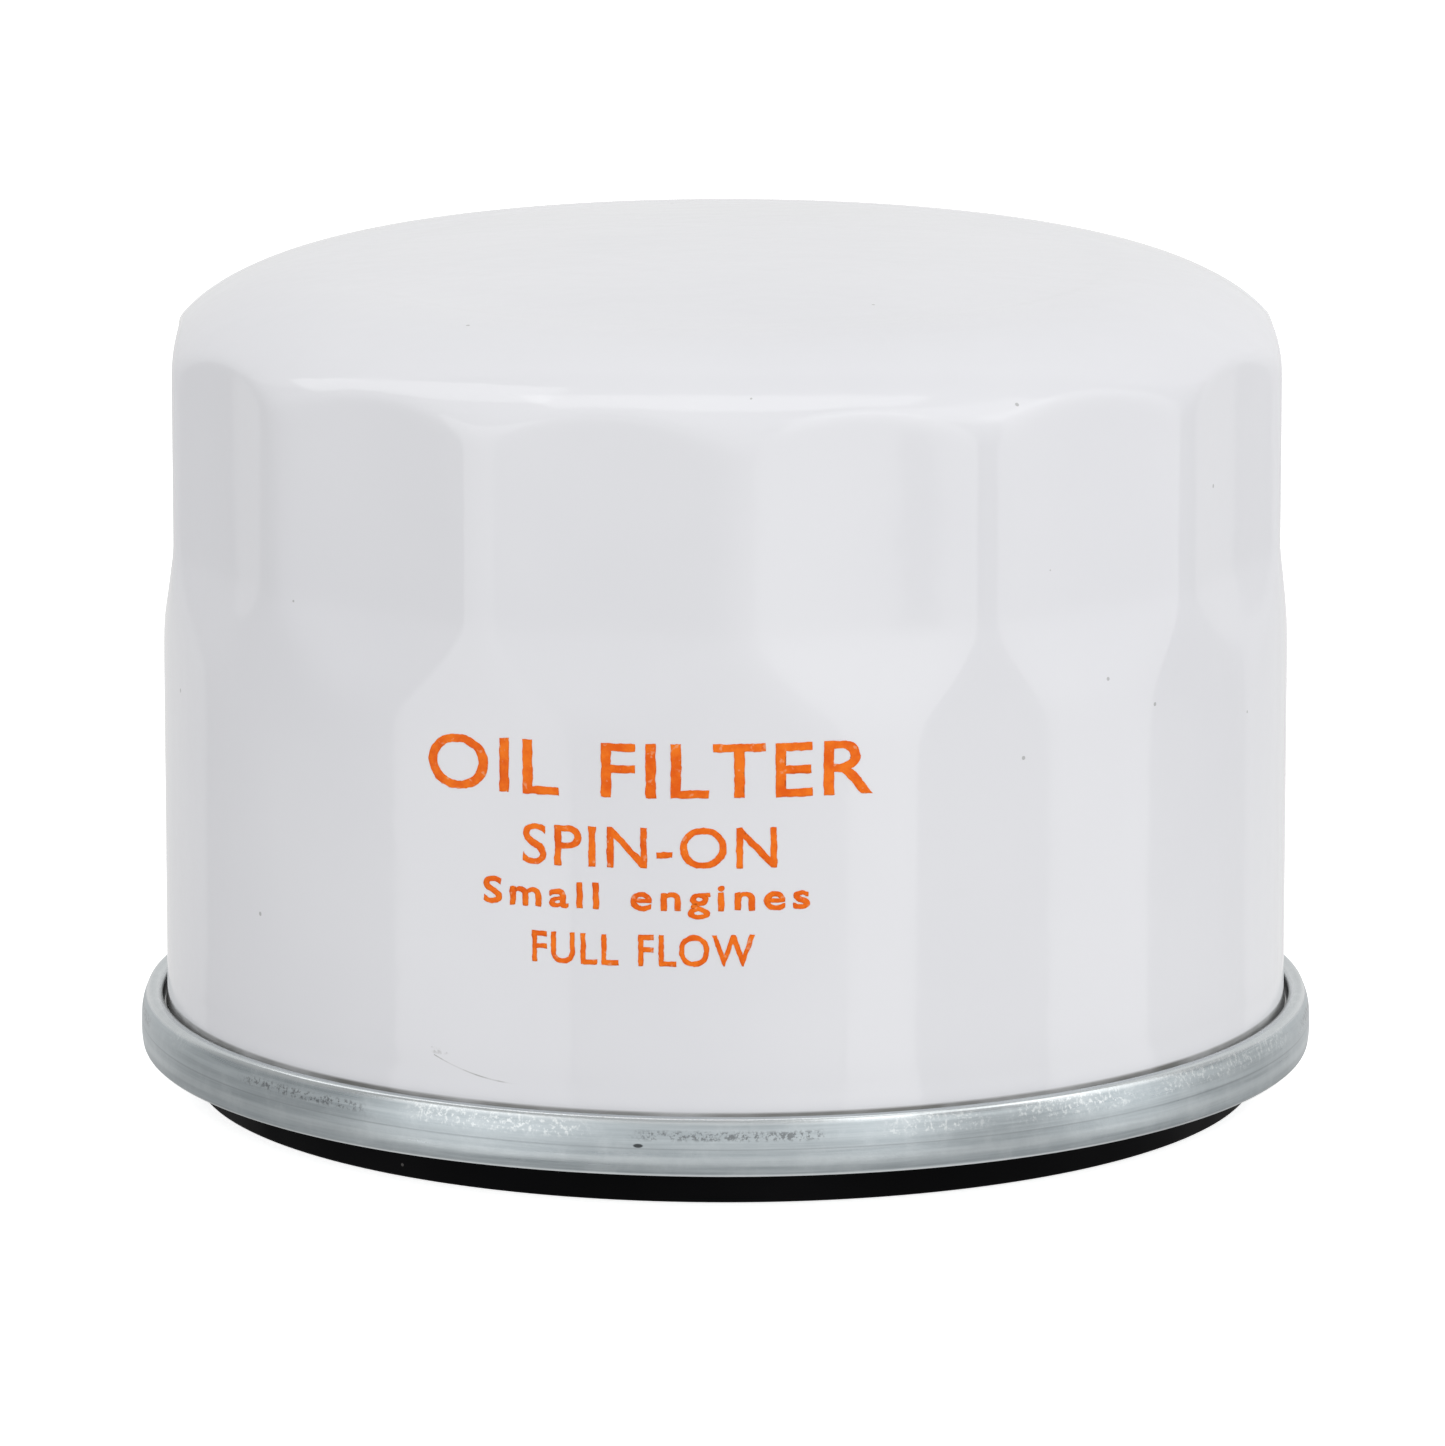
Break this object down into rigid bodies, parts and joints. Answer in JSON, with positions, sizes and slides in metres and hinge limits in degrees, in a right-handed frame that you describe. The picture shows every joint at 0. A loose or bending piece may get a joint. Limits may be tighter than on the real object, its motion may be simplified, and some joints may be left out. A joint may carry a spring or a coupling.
{
  "type": "spin-on oil filter",
  "caption": "Short spin-on engine oil filter: fluted white steel can rolled onto a plated lid with a rubber face gasket, threaded base plate, paper element and bypass valve inside.",
  "frame": {"origin": "on the filter's axis, in the plane of the gasket's sealing face", "axes": "+Z along the filter's axis towards the dome; -Y is the printed front"},
  "size_m": [0.0762, 0.0762, 0.0547],
  "materials": {
    "white_paint": "smooth semi-gloss white baked enamel with an orange screen print",
    "zinc_plate": "bright zinc plate, rolled, with fine pits and rub marks",
    "bare_steel": "oiled pressed steel",
    "tinplate": "bright tinplate",
    "spring_steel": "dark tempered spring steel",
    "black_rubber": "black nitrile rubber, slight oily sheen",
    "valve_rubber": "matt black nitrile rubber",
    "filter_paper": "resin-cured pleated filter paper",
    "adhesive": "cured plastisol",
    "seam_compound": "lining compound"
  },
  "bodies": {
    "housing": {"can": "white_paint", "seaming_lid": "zinc_plate", "seam_compound": "seam_compound", "sealing_gasket": "black_rubber", "base_plate": "bare_steel", "anti_drainback_valve": "valve_rubber", "element_spring": "spring_steel"},
    "element": {"lower_end_cap": "tinplate", "upper_end_cap": "tinplate", "lower_potting": "adhesive", "upper_potting": "adhesive", "centre_tube": "tinplate", "pleated_paper": "filter_paper", "paper_seam_clip": "tinplate", "bypass_seat": "tinplate", "bypass_cage": "tinplate", "bypass_spring": "spring_steel"},
    "bypass_valve": {"bypass_poppet": "tinplate", "bypass_seal": "black_rubber"}
  },
  "joints": [
    {"name": "element_float", "type": "slide", "parent": "housing", "child": "element", "axis": [0, 0, 1], "range_m": [0, 0.0012], "stiffness_N_per_m": 10000, "springref_m": -0.005, "deforming": ["element_spring"]},
    {"name": "bypass_lift", "type": "slide", "parent": "element", "child": "bypass_valve", "axis": [0, 0, -1], "range_m": [0, 0.0025], "stiffness_N_per_m": 1500, "springref_m": -0.0052, "deforming": ["bypass_spring"]}
  ]
}
